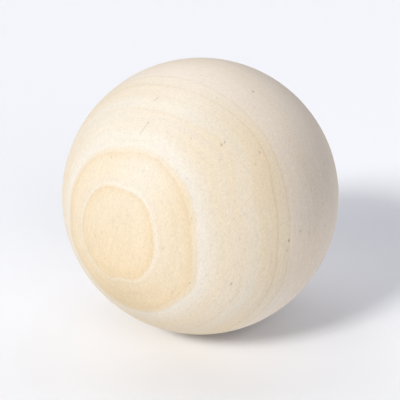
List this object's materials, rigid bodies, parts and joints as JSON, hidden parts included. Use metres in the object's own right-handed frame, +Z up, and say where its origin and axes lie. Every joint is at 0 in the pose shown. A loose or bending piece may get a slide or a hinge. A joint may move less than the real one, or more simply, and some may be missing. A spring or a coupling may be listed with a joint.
{
  "type": "croquet ball",
  "caption": "Solid one-piece wooden croquet ball, turned to a smooth sphere and left bare, with flat-sawn growth rings showing as ovals.",
  "frame": {"origin": "centre of the ball, 46 mm above the ground it lies on", "axes": "+Z up from the ground contact through the centre; +X to the viewer's right and -Y towards the viewer in the usual view"},
  "size_m": [0.092, 0.092, 0.092],
  "materials": {
    "bare_wood": "bare fine-sanded pale wood, matt, no paint, lacquer or oil"
  },
  "bodies": {
    "root": {"ball": "bare_wood"}
  },
  "joints": []
}
